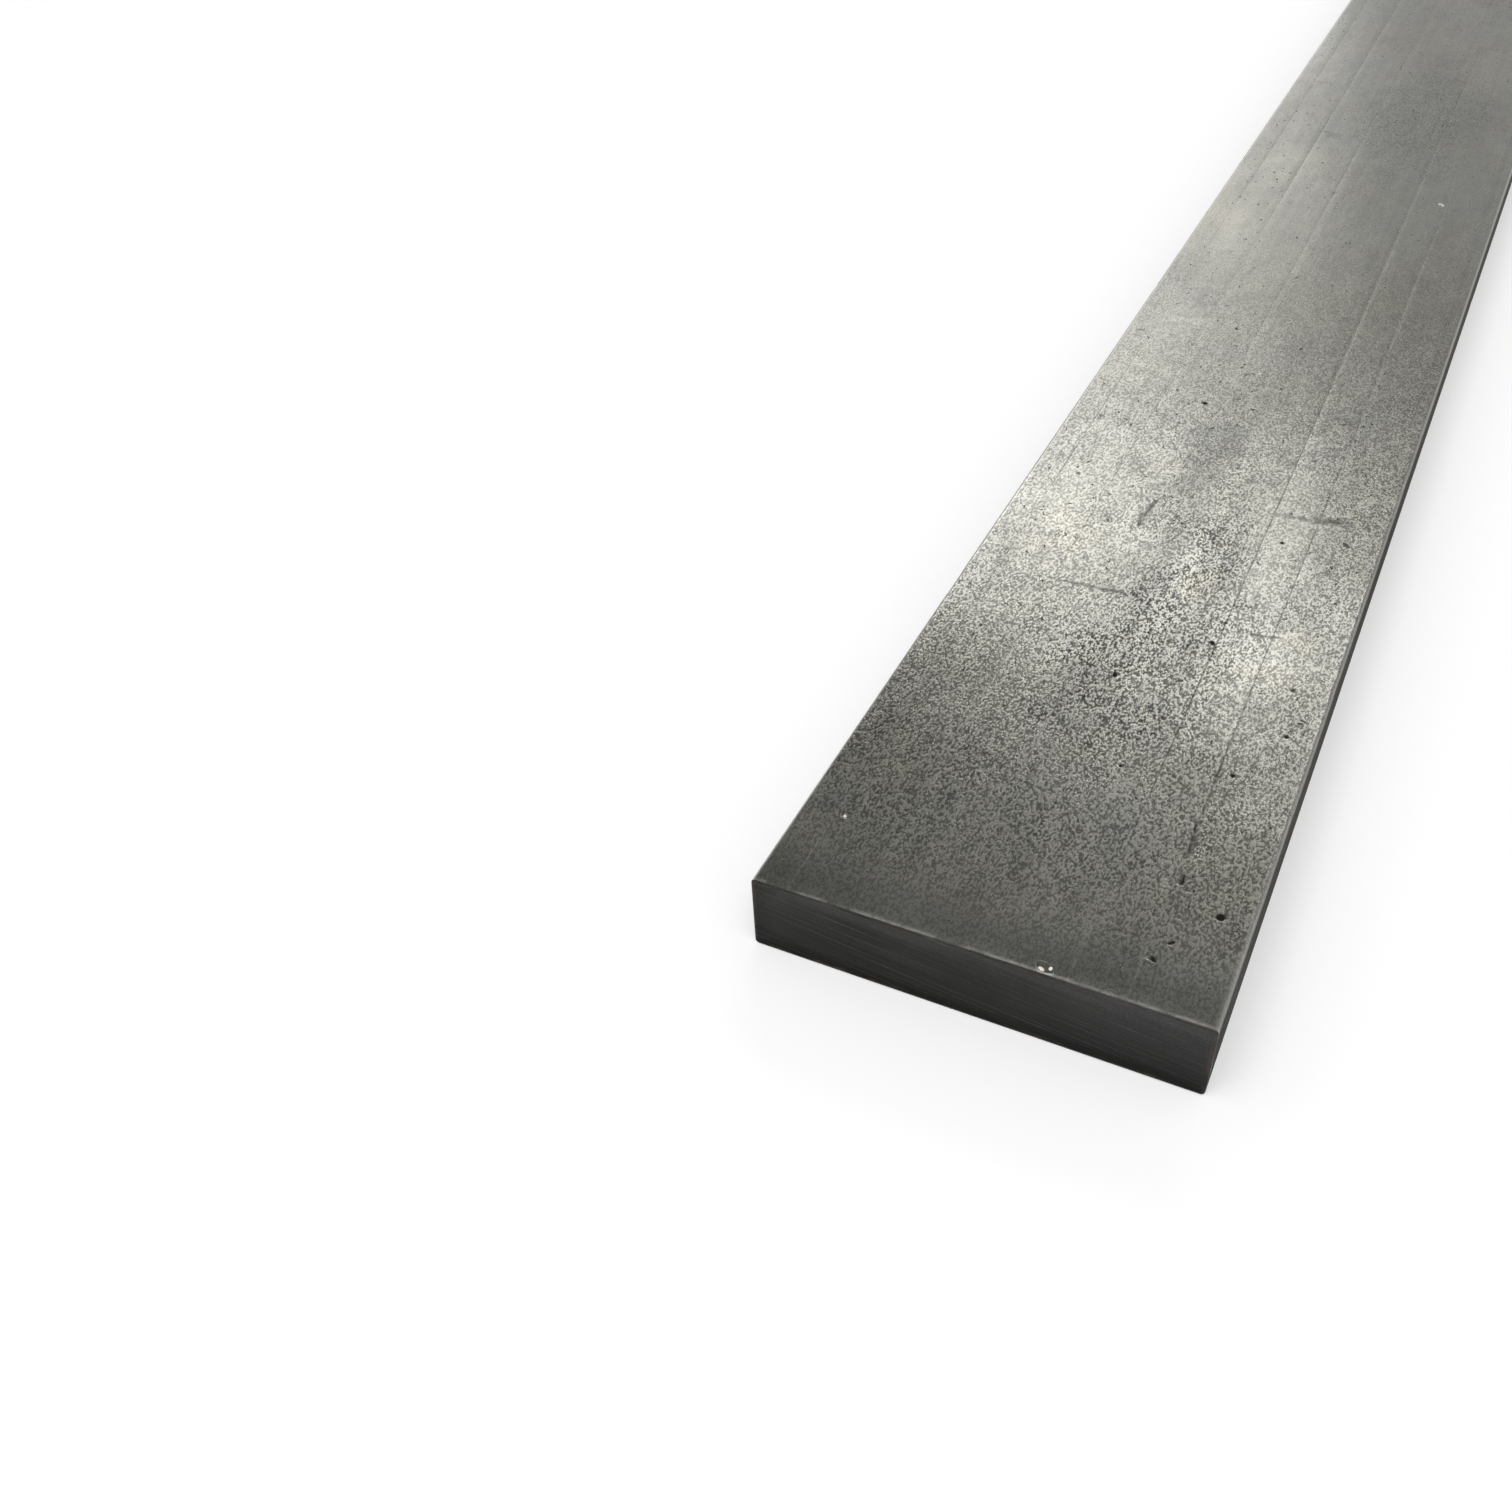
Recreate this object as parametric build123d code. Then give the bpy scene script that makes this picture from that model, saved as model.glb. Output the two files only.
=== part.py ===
"""One cold drawn mild steel flat bar, cut to a stock length and lying flat on its wide face.

The bar is one piece of metal with a plain rectangular section. Drawing leaves the four long
corners with a small radius. Both ends are saw cut square, and their rims are only just broken.
Millimetres, +X along the bar, +Z up, origin at the middle of the underside.
"""

import os

from build123d import *

# Stock size of the bar
bar_length = 500.0
bar_width = 50.0
bar_thickness = 10.0

# Edges that the drawing die and the saw leave
drawn_corner_radius = 0.5
sawn_rim_break = 0.15


def bar_section():
    """The drawn section: a rectangle standing on the ground line, with small round corners."""
    outline = RectangleRounded(bar_width, bar_thickness, drawn_corner_radius)
    return Pos(0, bar_thickness / 2) * outline


def drawn_bar():
    """The section run along X for the whole length, half of it each side of the origin."""
    section_plane = Plane(origin=(-bar_length / 2, 0, 0), x_dir=(0, 1, 0), z_dir=(1, 0, 0))
    return extrude(section_plane * bar_section(), amount=bar_length)


def break_sawn_rims(bar):
    """Takes the knife edge off the rim of both sawn ends."""
    ends = bar.faces().filter_by(Plane.YZ)
    return chamfer(ends.edges(), length=sawn_rim_break)


flat_bar = break_sawn_rims(drawn_bar())
flat_bar.label = "flat_bar"

os.makedirs("parts", exist_ok=True)
export_step(flat_bar, "parts/flat_bar.step")
print(f"flat_bar: {flat_bar.volume / 1000:.1f} cm3, box {flat_bar.bounding_box().size}")
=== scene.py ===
"""One cold drawn steel flat bar with saw cut ends, lying on its wide face on a pale studio floor.

The bar is a single detailed mesh that stands for the plain solid of the frame. Its corners, sawn
rims, saw marks, draw lines, scratches, pits and knocks are shaped in the mesh, and the grain, the
clouded tone and the stains of the drawn steel are procedural materials on Object coordinates.
Materials work in millimetres, meshes and settings in metres. +X runs along the bar, +Z is up.
"""

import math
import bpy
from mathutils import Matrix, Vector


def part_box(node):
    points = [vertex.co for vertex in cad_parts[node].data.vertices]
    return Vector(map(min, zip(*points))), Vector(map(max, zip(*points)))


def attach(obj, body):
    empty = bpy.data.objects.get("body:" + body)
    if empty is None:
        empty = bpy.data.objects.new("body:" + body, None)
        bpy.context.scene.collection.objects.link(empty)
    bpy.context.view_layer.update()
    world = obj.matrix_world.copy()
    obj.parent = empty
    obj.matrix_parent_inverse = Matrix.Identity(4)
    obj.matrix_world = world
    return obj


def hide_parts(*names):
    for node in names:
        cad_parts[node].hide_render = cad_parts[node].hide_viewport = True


bl_info = {
    "name": "Drawn Steel Flat Bar",
    "version": (1, 0, 0),
    "blender": (4, 5, 0),
    "location": "View3D > Sidebar > Flat Bar",
    "description": "Builds one drawn steel flat bar with sawn ends and the studio it lies in",
    "category": "Add Mesh",
}

import bmesh
import bpy
from bpy.props import FloatProperty, FloatVectorProperty, IntProperty, PointerProperty
from mathutils import Matrix, Vector, noise

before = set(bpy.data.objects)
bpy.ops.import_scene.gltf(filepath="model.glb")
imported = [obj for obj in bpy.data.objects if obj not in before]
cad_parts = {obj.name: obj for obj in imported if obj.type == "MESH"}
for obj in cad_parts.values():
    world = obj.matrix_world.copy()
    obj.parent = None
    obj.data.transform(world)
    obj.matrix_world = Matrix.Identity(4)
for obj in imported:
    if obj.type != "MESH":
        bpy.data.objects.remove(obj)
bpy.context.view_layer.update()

bar_low, bar_high = (Vector(corner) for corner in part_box("flat_bar"))
bar_size = bar_high - bar_low

MM = 0.001

# Draw lines cut by grit in the die: face side, place across the width, width and depth in mm
DRAW_LINES = (
    ("top", -9.9, 0.16, 0.022),
    ("top", -15.9, 0.14, 0.018),
    ("top", 13.2, 0.13, 0.010),
    ("top", 4.6, 0.12, 0.008),
    ("top", 20.8, 0.13, 0.009),
    ("bottom", 7.5, 0.16, 0.020),
    ("bottom", -12.4, 0.14, 0.016),
    ("bottom", 18.1, 0.13, 0.012),
)

# Knocks: face, x, y, half length, half width, turn in degrees, depth and dirt, sizes in mm
KNOCKS = (
    ("top", -235.3, -21.5, 0.55, 0.50, 0.0, 0.24, 1.0),
    ("top", -248.95, -7.4, 1.05, 0.62, 63.0, 0.30, 0.6),
    ("top", -236.9, 19.8, 0.40, 0.36, 0.0, 0.17, 0.3),
    ("top", -231.4, -16.6, 1.2, 0.27, 10.0, 0.11, 1.0),
    ("top", -226.6, -16.1, 4.8, 0.17, 4.5, 0.05, 0.9),
    ("top", -241.6, -10.5, 5.2, 0.16, -2.0, 0.04, 0.7),
    ("top", -166.0, 6.6, 2.2, 0.26, 8.0, 0.07, 0.25),
    ("top", -162.6, 6.1, 2.6, 0.34, -7.0, 0.08, 0.35),
    ("top", -243.5, -16.7, 0.62, 0.28, 52.0, 0.10, 1.0),
    ("top", -240.7, -17.9, 0.52, 0.24, -48.0, 0.08, 1.0),
    ("top", -200.9, -0.2, 0.55, 0.30, 10.0, 0.10, 1.0),
    ("top", -190.1, -9.4, 0.42, 0.26, 30.0, 0.10, 1.0),
    ("top", -216.8, -5.6, 0.26, 0.24, 0.0, 0.08, 1.0),
    ("top", -213.5, -17.5, 0.34, 0.28, 0.0, 0.08, 1.0),
    ("top", -204.5, -21.5, 0.30, 0.24, 0.0, 0.07, 1.0),
    ("top", -162.0, -20.3, 0.58, 0.36, 40.0, 0.10, 0.55),
    ("top", -164.6, -12.4, 0.30, 0.26, 0.0, 0.07, 1.0),
    ("top", -130.5, 6.6, 0.45, 0.34, 0.0, 0.08, 1.0),
    ("top", -118.2, 1.6, 0.75, 0.60, 0.0, 0.10, 0.0),
    ("top", -40.1, -14.7, 0.80, 0.70, 0.0, 0.12, 0.0),
    ("top", 118.0, -6.0, 0.60, 0.50, 0.0, 0.14, 1.0),
    ("top", 171.0, 14.0, 10.0, 0.20, 3.0, 0.05, 1.0),
    ("top", 206.0, -13.0, 0.50, 0.40, 20.0, 0.12, 1.0),
    ("bottom", -120.0, 11.0, 0.70, 0.55, 0.0, 0.14, 1.0),
    ("bottom", -38.0, -8.0, 12.0, 0.22, 2.5, 0.06, 1.0),
    ("bottom", 72.0, 3.0, 0.60, 0.50, 30.0, 0.12, 1.0),
    ("bottom", 150.0, -16.0, 9.0, 0.22, -3.0, 0.05, 1.0),
    ("bottom", 221.0, 12.0, 0.60, 0.45, 0.0, 0.12, 1.0),
)

# Nicks in the four long corners: x, side of the width, side of the thickness, half length, depth
CORNER_NICKS = (
    (-241.0, 1, 1, 0.7, 0.10),
    (-236.5, 1, 1, 0.5, 0.08),
    (-217.5, -1, 1, 1.6, 0.14),
    (-192.5, -1, 1, 2.2, 0.10),
    (-156.0, -1, 1, 0.8, 0.08),
    (-143.0, -1, 1, 1.9, 0.16),
    (-190.0, 1, 1, 3.5, 0.07),
    (-92.0, 1, 1, 1.1, 0.12),
    (18.0, -1, 1, 1.4, 0.13),
    (77.0, 1, 1, 0.9, 0.10),
    (143.0, -1, 1, 1.8, 0.15),
    (208.0, 1, 1, 1.2, 0.12),
    (-205.0, 1, -1, 1.2, 0.12),
    (-60.0, -1, -1, 1.5, 0.13),
    (95.0, 1, -1, 1.3, 0.12),
    (190.0, -1, -1, 1.0, 0.10),
)

# Crumbs pressed into the top, coloured near white as a painted glint: x, y and radius in mm
CRUMBS = (
    (-249.20, -7.00, 0.52),
    (-248.70, -8.05, 0.36),
    (-236.90, 19.80, 0.26),
)

# Dark rubbed marks on the top: x, y, half length, half width, turn in degrees, strength
DARK_MARKS = (
    (-157.6, -14.8, 8.6, 0.80, 94.0, 0.55),
    (-156.9, -17.2, 3.6, 1.05, 95.0, 0.85),
    (-158.2, -5.0, 4.0, 0.60, 91.0, 0.30),
    (-186.3, -14.6, 4.2, 0.42, 98.0, 0.62),
    (-184.1, 8.0, 8.0, 0.55, 91.0, 0.58),
    (-164.2, 6.1, 5.2, 0.85, -2.0, 0.26),
    (-171.5, 4.4, 2.6, 0.50, 76.0, 0.34),
    (-100.6, -5.6, 3.6, 1.30, 4.0, 0.30),
    (-127.6, -12.5, 7.5, 1.00, 90.0, 0.30),
    (-126.4, -19.6, 2.6, 1.70, 10.0, 0.34),
    (-121.5, -2.0, 5.0, 0.80, 88.0, 0.22),
    (-9.6, 10.6, 3.4, 2.40, 50.0, 0.42),
    (-62.5, -2.5, 2.6, 1.20, 0.0, 0.34),
    (92.0, -8.0, 6.5, 0.9, 84.0, 0.30),
    (151.0, 6.0, 9.0, 1.1, 4.0, 0.30),
    (204.0, -15.0, 5.5, 0.8, 96.0, 0.34),
)

# Soft clouds in the tone of the top: x, y, half length, half width, turn in degrees, strength
DARK_CLOUDS = (
    (-205.0, 2.5, 15.0, 8.0, 8.0, 0.40),
    (-192.0, 3.5, 9.0, 5.0, -8.0, 0.22),
    (-166.0, 0.6, 34.0, 5.0, -2.0, 0.48),
    (-146.0, 2.0, 30.0, 7.0, -2.0, 0.56),
    (-112.0, -4.0, 24.0, 8.0, 0.0, 0.34),
    (-128.0, -1.5, 14.0, 4.0, 6.0, 0.24),
    (-224.0, 4.0, 10.0, 9.0, 0.0, 0.20),
    (-250.0, 6.0, 17.0, 21.0, 0.0, 0.42),
    (-147.0, -17.0, 13.0, 5.0, 0.0, 0.24),
    (-66.0, 3.5, 12.0, 6.0, 0.0, 0.22),
    (-8.0, 9.0, 9.0, 6.0, 0.0, 0.22),
    (35.0, 2.0, 24.0, 7.0, 4.0, 0.20),
    (118.0, -6.0, 26.0, 8.0, -5.0, 0.28),
    (190.0, 8.0, 22.0, 7.0, 6.0, 0.28),
)

# Patches where the pebbled grain is strongest, listed in the same way
PEBBLED_PATCHES = (
    (-190.0, -4.0, 62.0, 27.0, 0.0, 1.00),
    (-176.0, 14.0, 34.0, 15.0, 0.0, 0.62),
    (8.0, -5.0, 60.0, 22.0, 0.0, 0.55),
    (135.0, 4.0, 62.0, 20.0, 0.0, 0.60),
    (205.0, -2.0, 50.0, 26.0, 0.0, 0.95),
)

# Patches that are rubbed clean and bright, listed in the same way
CLEAN_PATCHES = (
    (-162.0, 17.0, 30.0, 13.0, -6.0, 0.90),
    (-158.0, -12.0, 42.0, 7.0, 3.0, 1.00),
    (-190.0, -14.0, 16.0, 9.0, 0.0, 0.90),
    (-112.0, 20.0, 30.0, 10.0, 0.0, 0.80),
    (-103.5, 15.0, 9.0, 3.0, 88.0, 1.00),
    (-122.0, 19.0, 6.0, 2.2, 92.0, 1.00),
    (-144.0, 17.0, 7.0, 3.0, 84.0, 1.00),
    (-127.0, -6.5, 3.4, 1.2, 90.0, 0.90),
    (-24.8, 13.5, 7.0, 0.9, 90.0, 0.85),
    (-62.0, 19.0, 15.0, 4.0, 6.0, 0.85),
    (40.0, -14.0, 26.0, 8.0, 0.0, 0.60),
    (150.0, 10.0, 30.0, 9.0, 4.0, 0.70),
    (212.0, 15.0, 20.0, 8.0, 0.0, 0.60),
)

# Faint straw tints, listed in the same way
WARM_CLOUDS = (
    (-178.0, -5.2, 6.5, 4.0, 0.0, 0.60),
    (-172.0, 15.0, 13.0, 9.0, 0.0, 0.34),
    (-186.5, -20.0, 7.0, 4.5, 0.0, 0.40),
    (-226.0, 19.0, 16.0, 9.0, 0.0, 0.50),
    (-60.0, -20.0, 24.0, 7.0, 0.0, 0.30),
    (60.0, 14.0, 24.0, 7.0, 0.0, 0.28),
    (168.0, -12.0, 24.0, 8.0, 0.0, 0.34),
)

# The darker drape of the surround: its heading, then where it is full and where it ends, in degrees
DRAPE_HEADING = 17.0
DRAPE_EDGES = (24.0, 40.0)

# Grey levels of the drape and of the rest of the surround, from the horizon at 0 to overhead at 1
DRAPE_LEVELS = (
    (0.0, 0.66),
    (0.24, 0.54),
    (0.42, 0.34),
    (0.58, 0.16),
    (0.70, 0.050),
    (0.87, 0.040),
    (0.98, 0.40),
)
ROOM_LEVELS = ((0.0, 0.66), (0.5, 0.56), (0.87, 0.48), (1.0, 0.40))

# Soft lights that the top mirrors: name, heading and height in degrees, distance, size, level, roll
MIRRORED_PANELS = (
    ("band_panel", 12.0, 33.6, 1.3, (0.80, 0.17), 3.1, -24.0),
    ("low_panel", 20.0, 19.5, 1.7, (0.72, 0.46), 0.82, 0.0),
)

# The soft light overhead: its place, what it looks at, its size and its level
OVERHEAD_PANEL = ((-0.75, 0.0, 1.4), (-0.1, 0.0, 0.0), (1.4, 1.2), 2.3)

# How strongly the floor glows to the camera and in the steel, and how far it lies under the bar
FLOOR_GLOW = 0.24
FLOOR_DROP = 0.03 * MM

# Tones of small features, as linear red, green and blue
SOOT_TONE = (0.018, 0.018, 0.017)
# Bare worn steel on the long corners and the rims, made lighter still as a painted highlight
BARE_CORNER_HIGHLIGHT_TONE = (0.5, 0.49, 0.46)
BARE_RIM_HIGHLIGHT_TONE = (0.66, 0.65, 0.61)
COOL_SAWN_TONE = (0.062, 0.061, 0.063)
# Painted shade: the sawn face turns darker towards the floor
FOOT_SHADE_TONE = (0.014, 0.014, 0.014)
SAW_STREAK_TONE = (0.15, 0.15, 0.145)
SAWN_PIT_TONE = (0.012, 0.012, 0.013)
# Painted glint: the crumbs are coloured near white instead of steel
STRAW_CRUMB_GLINT_TONE = (0.95, 0.86, 0.66)
PALE_CRUMB_GLINT_TONE = (0.95, 0.94, 0.90)

# Heights of the fine relief drawn by the Bump nodes, in mm. The grain is flatter far from the ends
FAR_GRAIN_RELIEF = 0.0026
GRAIN_RELIEF = 0.012
DRAWN_LINE_RELIEF = 0.003
CROSS_LINE_RELIEF = 0.004
CLOUD_RELIEF = 0.009
PIT_RELIEF = 0.020
SAW_LINE_RELIEF = 0.022
SAWN_GRAIN_RELIEF = 0.006
SAWN_PIT_RELIEF = 0.03

# Distances from the middle of the bar between which its finish changes, and between which a painted shade
# darkens the top towards the ends, in mm
GRAIN_GROWS = (60.0, 150.0)
END_TURNS_MATT = (205.0, 250.0)
END_PAINTED_SHADE = (236.0, 250.0)
END_IS_RUBBED = (233.0, 247.0)

# How far above and below the top a mark reaches, in mm
MARK_RISE = 2.5

# Extra cuts beside the round corners and the rims, and the reach of the nicks, in mm
SHOULDER_GAP = 0.12
RIM_STATIONS = (0.12, 0.45)
NICK_REACH = 0.8

# Depths of the faint waviness and ripple, and the line depth that is full of dirt, in mm
WAVE_DEPTH = 0.012
RIPPLE_DEPTH = 0.012
DIRTY_LINE_DEPTH = 0.042


class BarSettings(bpy.types.PropertyGroup):
    """Sizes and tones of the flat bar."""

    length: FloatProperty(
        name="Length",
        description="Length of the bar between its sawn ends",
        default=bar_size.x,
        unit="LENGTH",
    )
    width: FloatProperty(
        name="Width",
        description="Width of the wide faces",
        default=bar_size.y,
        unit="LENGTH",
    )
    thickness: FloatProperty(
        name="Thickness",
        description="Height of the bar as it lies",
        default=bar_size.z,
        unit="LENGTH",
    )
    corner_radius: FloatProperty(
        name="Corner Radius",
        description="Radius that drawing leaves on the four long corners",
        default=0.5 * MM,
        unit="LENGTH",
        precision=5,
    )
    rim_break: FloatProperty(
        name="Rim Break",
        description="Size of the broken edge round each sawn end",
        default=0.15 * MM,
        unit="LENGTH",
        precision=5,
    )
    lip_width: FloatProperty(
        name="Lip Width",
        description="Width of the raised lip that the saw leaves round each end",
        default=0.22 * MM,
        unit="LENGTH",
        precision=5,
    )
    lip_height: FloatProperty(
        name="Lip Height",
        description="How far the lip stands out from the sawn face",
        default=0.07 * MM,
        unit="LENGTH",
        precision=5,
    )
    saw_tilt: FloatProperty(
        name="Saw Tilt",
        description="Angle of the saw marks to the wide faces",
        default=math.radians(6.5),
        subtype="ANGLE",
    )
    saw_row: FloatProperty(
        name="Saw Row",
        description="Height of one row of the sawn face",
        default=0.13 * MM,
        unit="LENGTH",
        precision=5,
    )
    saw_relief: FloatProperty(
        name="Saw Relief",
        description="Depth of the deepest saw marks",
        default=0.05 * MM,
        unit="LENGTH",
        precision=5,
    )
    cell: FloatProperty(
        name="Mesh Cell",
        description="Length and width of the cells on the wide faces, before the knocks",
        default=2.0 * MM,
        unit="LENGTH",
        precision=5,
    )
    knock_cuts: IntProperty(
        name="Knock Cuts",
        description="How many cuts divide a cell that holds a knock or a scratch",
        default=13,
        min=3,
    )
    steel_tone: FloatVectorProperty(
        name="Steel",
        description="Colour of the drawn steel where it is clean",
        default=(0.452, 0.448, 0.403),
        subtype="COLOR",
    )
    # This dull colour is also the colour of the painted shade near the ends
    dull_and_shade_tone: FloatVectorProperty(
        name="Dull Steel",
        description="Colour of the drawn steel where it is clouded or rubbed dark",
        default=(0.135, 0.137, 0.132),
        subtype="COLOR",
    )
    warm_tone: FloatVectorProperty(
        name="Warm Steel",
        description="Colour of the faint straw tint",
        default=(0.452, 0.424, 0.338),
        subtype="COLOR",
    )
    ground_tone: FloatVectorProperty(
        name="Grain Ground",
        description="Colour of the dark low ground between the pebbles of the grain",
        default=(0.026, 0.027, 0.025),
        subtype="COLOR",
    )
    # Painted shade: the narrow faces are coloured dark to stand for the shade they lie in
    shaded_side_tone: FloatVectorProperty(
        name="Side Steel",
        description="Colour of the darker narrow faces",
        default=(0.060, 0.060, 0.059),
        subtype="COLOR",
    )
    sawn_tone: FloatVectorProperty(
        name="Sawn Steel",
        description="Colour of the dark sawn ends",
        default=(0.050, 0.051, 0.044),
        subtype="COLOR",
    )
    rust_tone: FloatVectorProperty(
        name="Rust",
        description="Colour of the thin rust that starts on the sawn rims",
        default=(0.055, 0.030, 0.019),
        subtype="COLOR",
    )


class StageSettings(bpy.types.PropertyGroup):
    """The floor, the light and the camera."""

    camera_place: FloatVectorProperty(
        name="Camera Place",
        description="Where the camera stands",
        default=(-0.34889, -0.03171, 0.12725),
        subtype="TRANSLATION",
    )
    camera_heading: FloatProperty(
        name="Heading",
        description="Direction of view in the floor plane, from +X towards +Y",
        default=math.radians(29.10),
        subtype="ANGLE",
    )
    camera_pitch: FloatProperty(
        name="Pitch",
        description="Angle of the view below the horizon",
        default=math.radians(41.20),
        subtype="ANGLE",
    )
    camera_roll: FloatProperty(
        name="Roll",
        description="Turn of the picture about the line of view",
        default=math.radians(3.78),
        subtype="ANGLE",
    )
    focal_length: FloatProperty(
        name="Focal Length",
        description="Focal length on a sensor 36 mm wide, in millimetres",
        default=36.24,
    )
    floor_tone: FloatVectorProperty(
        name="Floor",
        description="Colour of the pale floor",
        default=(0.86, 0.86, 0.86),
        subtype="COLOR",
    )
    floor_size: FloatProperty(
        name="Floor Size",
        description="Length of one side of the floor",
        default=24.0,
        unit="LENGTH",
    )


class Sheet:
    """Adds nodes to one node tree and wires them as they are made."""

    def __init__(self, tree):
        self.tree = tree

    def node(self, kind, **settings):
        """A new node with the given settings."""
        made = self.tree.nodes.new(kind)
        for name, value in settings.items():
            setattr(made, name, value)
        return made

    def feed(self, socket, source):
        """Links a source to the socket, or sets the socket where the source is a plain value."""
        if isinstance(source, bpy.types.NodeSocket):
            self.tree.links.new(source, socket)
        else:
            socket.default_value = source

    def maths(self, operation, *sources, clamp=False):
        """One Math node."""
        made = self.node("ShaderNodeMath", operation=operation, use_clamp=clamp)
        for socket, source in zip(made.inputs, sources):
            self.feed(socket, source)
        return made.outputs["Value"]

    def vector(self, operation, *sources):
        """One Vector Math node."""
        made = self.node("ShaderNodeVectorMath", operation=operation)
        for socket, source in zip(made.inputs, sources):
            self.feed(socket, source)
        return made.outputs["Value" if operation in ("LENGTH", "DOT_PRODUCT") else "Vector"]

    def scaled(self, vector, factor):
        """The vector times one number."""
        made = self.node("ShaderNodeVectorMath", operation="SCALE")
        self.feed(made.inputs["Vector"], vector)
        self.feed(made.inputs["Scale"], factor)
        return made.outputs["Vector"]

    def parts(self, vector):
        """The x, y and z of a vector."""
        made = self.node("ShaderNodeSeparateXYZ")
        self.feed(made.inputs["Vector"], vector)
        return made.outputs["X"], made.outputs["Y"], made.outputs["Z"]

    def joined(self, x, y, z):
        """A vector from its x, y and z."""
        made = self.node("ShaderNodeCombineXYZ")
        for socket, source in zip(made.inputs, (x, y, z)):
            self.feed(socket, source)
        return made.outputs["Vector"]

    def drawn_out(self, place, stretch):
        """The place shrunk along the bar, so that what is drawn on it comes out longer."""
        x, y, z = self.parts(place)
        return self.joined(self.maths("DIVIDE", x, stretch), y, z)

    def plus(self, value, extra, share, clamp=False):
        """The value and a share of another one."""
        return self.maths("ADD", value, self.maths("MULTIPLY", extra, share), clamp=clamp)

    def noise(self, place, scale, detail=2.0, roughness=0.5, distortion=0.0):
        """Noise from 0 to 1."""
        made = self.node("ShaderNodeTexNoise")
        self.feed(made.inputs["Vector"], place)
        self.feed(made.inputs["Scale"], scale)
        self.feed(made.inputs["Detail"], detail)
        self.feed(made.inputs["Roughness"], roughness)
        self.feed(made.inputs["Distortion"], distortion)
        return made.outputs["Fac"]

    def spread(self, value, low, high, to_low=0.0, to_high=1.0, smooth=False):
        """The value moved from one range to another, clamped."""
        made = self.node("ShaderNodeMapRange", clamp=True)
        made.interpolation_type = "SMOOTHSTEP" if smooth else "LINEAR"
        for socket, source in zip(made.inputs, (value, low, high, to_low, to_high)):
            self.feed(socket, source)
        return made.outputs["Result"]

    def blend(self, factor, first, second):
        """A mix of two colours."""
        made = self.node("ShaderNodeMix", data_type="RGBA")
        self.feed(made.inputs[0], factor)
        self.feed(made.inputs[6], first)
        self.feed(made.inputs[7], second)
        return made.outputs[2]

    def placed(self, group, **sources):
        """A shader node group, its inputs named with underscores for spaces."""
        made = self.node("ShaderNodeGroup", node_tree=group)
        for name, source in sources.items():
            self.feed(made.inputs[name.replace("_", " ").title()], source)
        return made.outputs


def colour(tone):
    """A colour with its alpha."""
    return (*tone, 1.0)


def half_size_of(bar):
    """Half the length, width and thickness of the bar, in millimetres."""
    return (bar.length / MM / 2, bar.width / MM / 2, bar.thickness / MM / 2)


def new_group(name, inputs, outputs):
    """An empty shader node group with its sockets, and its group input and output nodes."""
    tree = bpy.data.node_groups.new(name, "ShaderNodeTree")
    for label, kind, default in inputs:
        socket = tree.interface.new_socket(label, in_out="INPUT", socket_type=kind)
        if default is not None:
            socket.default_value = default
    for label, kind in outputs:
        tree.interface.new_socket(label, in_out="OUTPUT", socket_type=kind)
    sheet = Sheet(tree)
    entry = sheet.node("NodeGroupInput").outputs
    result = sheet.node("NodeGroupOutput").inputs
    return sheet, entry, result


def mark_group():
    """A soft ragged stroke at one place, for stains, rubbed marks and clouds."""
    sheet, entry, result = new_group(
        "Soft Mark",
        (
            ("Place", "NodeSocketVector", None),
            ("Centre", "NodeSocketVector", None),
            ("Turn", "NodeSocketFloat", 0.0),
            ("Half Size", "NodeSocketVector", None),
            ("Fray", "NodeSocketFloat", 0.0),
            ("Strength", "NodeSocketFloat", 1.0),
        ),
        (("Mask", "NodeSocketFloat"),),
    )
    away = sheet.vector("SUBTRACT", entry["Place"], entry["Centre"])
    turned = sheet.node("ShaderNodeVectorRotate", rotation_type="Z_AXIS")
    sheet.feed(turned.inputs["Vector"], away)
    sheet.feed(turned.inputs["Angle"], sheet.maths("MULTIPLY", entry["Turn"], -1.0))
    reach = sheet.vector("LENGTH", sheet.vector("DIVIDE", turned.outputs["Vector"], entry["Half Size"]))
    reach = sheet.maths("ADD", reach, entry["Fray"])
    mask = sheet.spread(reach, 1.0, 0.15, smooth=True)
    sheet.feed(result["Mask"], sheet.maths("MULTIPLY", mask, entry["Strength"]))
    return sheet.tree


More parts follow.
